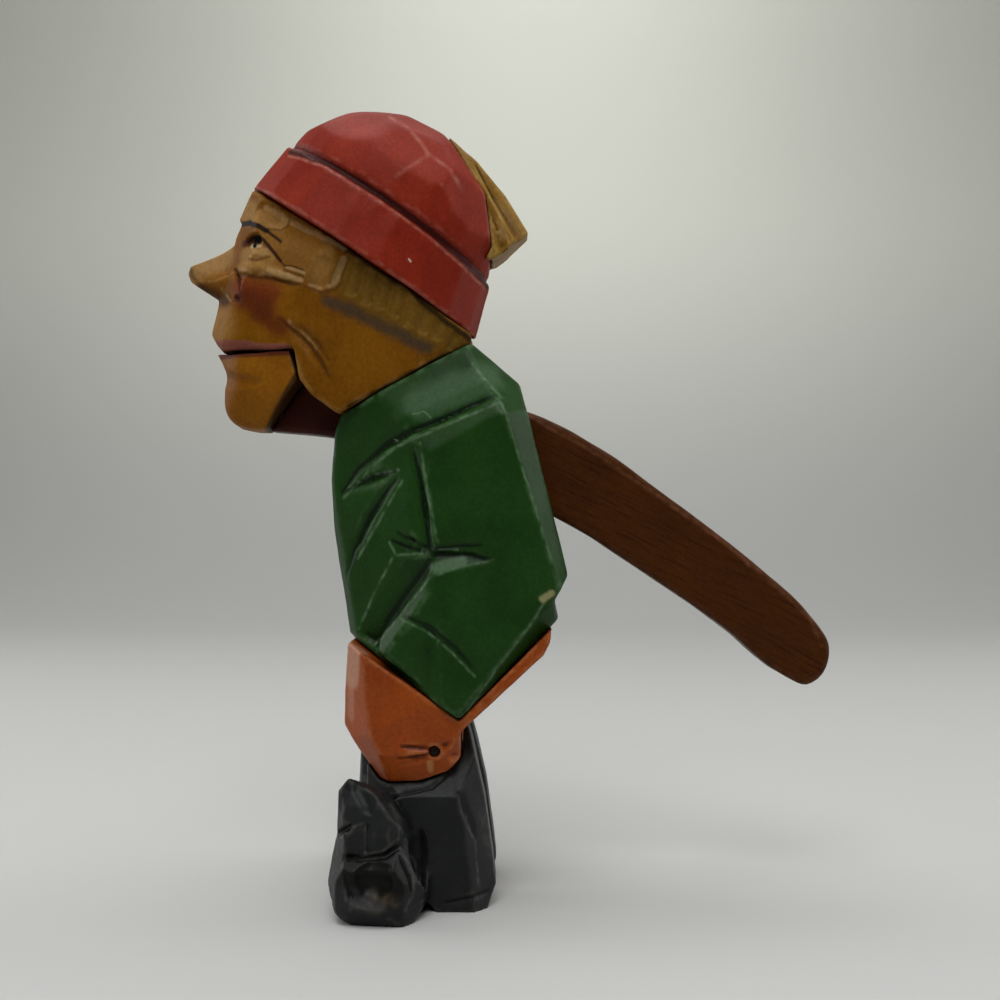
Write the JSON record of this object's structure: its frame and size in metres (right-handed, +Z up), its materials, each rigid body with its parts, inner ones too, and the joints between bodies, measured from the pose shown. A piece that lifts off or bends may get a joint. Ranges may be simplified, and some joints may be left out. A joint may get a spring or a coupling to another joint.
{
  "type": "figural lever nutcracker",
  "caption": "Carved and painted wooden fisherman in a stocking cap, hands in pockets; lifting the bowed lever behind the back drops the jaw to take a nut.",
  "frame": {"origin": "centre of the bounding box on the floor, with the soles at z = 0", "axes": "+Z up, -Y the way the figure faces, +X the figure's left side and the hinge axis"},
  "size_m": [0.0854, 0.1734, 0.2102],
  "materials": {
    "skin": "ochre stain under satin varnish",
    "cap_red": "brick-red paint, satin",
    "tassel_yellow": "yellow ochre paint, satin",
    "jacket_green": "deep green paint, satin",
    "breeches_orange": "orange stain, satin",
    "boot_black": "black paint, rubbed at the toes",
    "lever_brown": "red-brown stain, satin",
    "pin_steel": "plain drawn wire",
    "peg_dark": "bare dark wood",
    "dowel_beech": "bare beech"
  },
  "bodies": {
    "figure": {"jacket": "jacket_green", "head": "skin", "cap": "cap_red", "cap_tassel": "tassel_yellow", "breeches": "breeches_orange", "left_boot": "boot_black", "right_boot": "boot_black", "pivot_pin": "pin_steel", "pin_plug_left": "jacket_green", "pin_plug_right": "jacket_green", "knee_peg_left": "peg_dark", "knee_peg_right": "peg_dark", "neck_dowel_left": "dowel_beech", "neck_dowel_right": "dowel_beech", "waist_dowel_left": "dowel_beech", "waist_dowel_right": "dowel_beech", "leg_dowel_left": "dowel_beech", "leg_dowel_right": "dowel_beech", "cap_dowel": "dowel_beech", "tassel_dowel": "dowel_beech"},
    "lever": {"lever": "lever_brown", "jaw": "skin", "jaw_dowel_lower": "dowel_beech", "jaw_dowel_upper": "dowel_beech"}
  },
  "joints": [
    {"name": "lever_pivot", "type": "hinge", "parent": "figure", "child": "lever", "pos_m": [0, -0.028, 0.1255], "axis": [1, 0, 0], "range_deg": [0, 30]}
  ]
}
